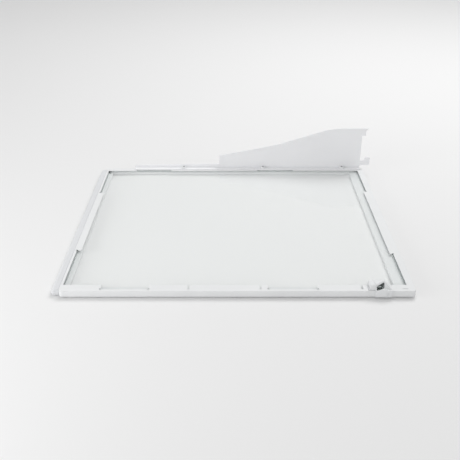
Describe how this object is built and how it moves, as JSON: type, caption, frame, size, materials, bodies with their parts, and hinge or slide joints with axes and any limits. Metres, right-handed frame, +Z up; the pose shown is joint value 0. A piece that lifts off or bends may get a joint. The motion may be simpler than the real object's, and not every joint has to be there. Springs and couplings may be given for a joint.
{
  "type": "refrigerator shelf",
  "caption": "Cantilever refrigerator shelf: a clear glass pane in a white moulded frame with a front trim, a rail clip and a hooked steel side bracket, lying face down.",
  "frame": {"origin": "on the surface that the shelf lies on, under the middle of its box", "axes": "+X from the front trim to the rear hooks, +Y across to the bracket's side, +Z up through the face that is the underside in use"},
  "size_m": [0.4205, 0.3598, 0.0748],
  "materials": {
    "glass": "clear float glass with ground edges",
    "frame_plastic": "satin moulded, white",
    "trim_plastic": "satin moulded, white",
    "bracket_paint": "powder coated, white",
    "screw_paint": "white lacquer",
    "clip_plastic": "satin moulded, white"
  },
  "bodies": {
    "root": {"glass_pane": "glass", "shelf_frame": "frame_plastic", "front_trim": "trim_plastic", "side_bracket": "bracket_paint", "bracket_screws": "screw_paint", "rail_clip": "clip_plastic"}
  },
  "joints": []
}
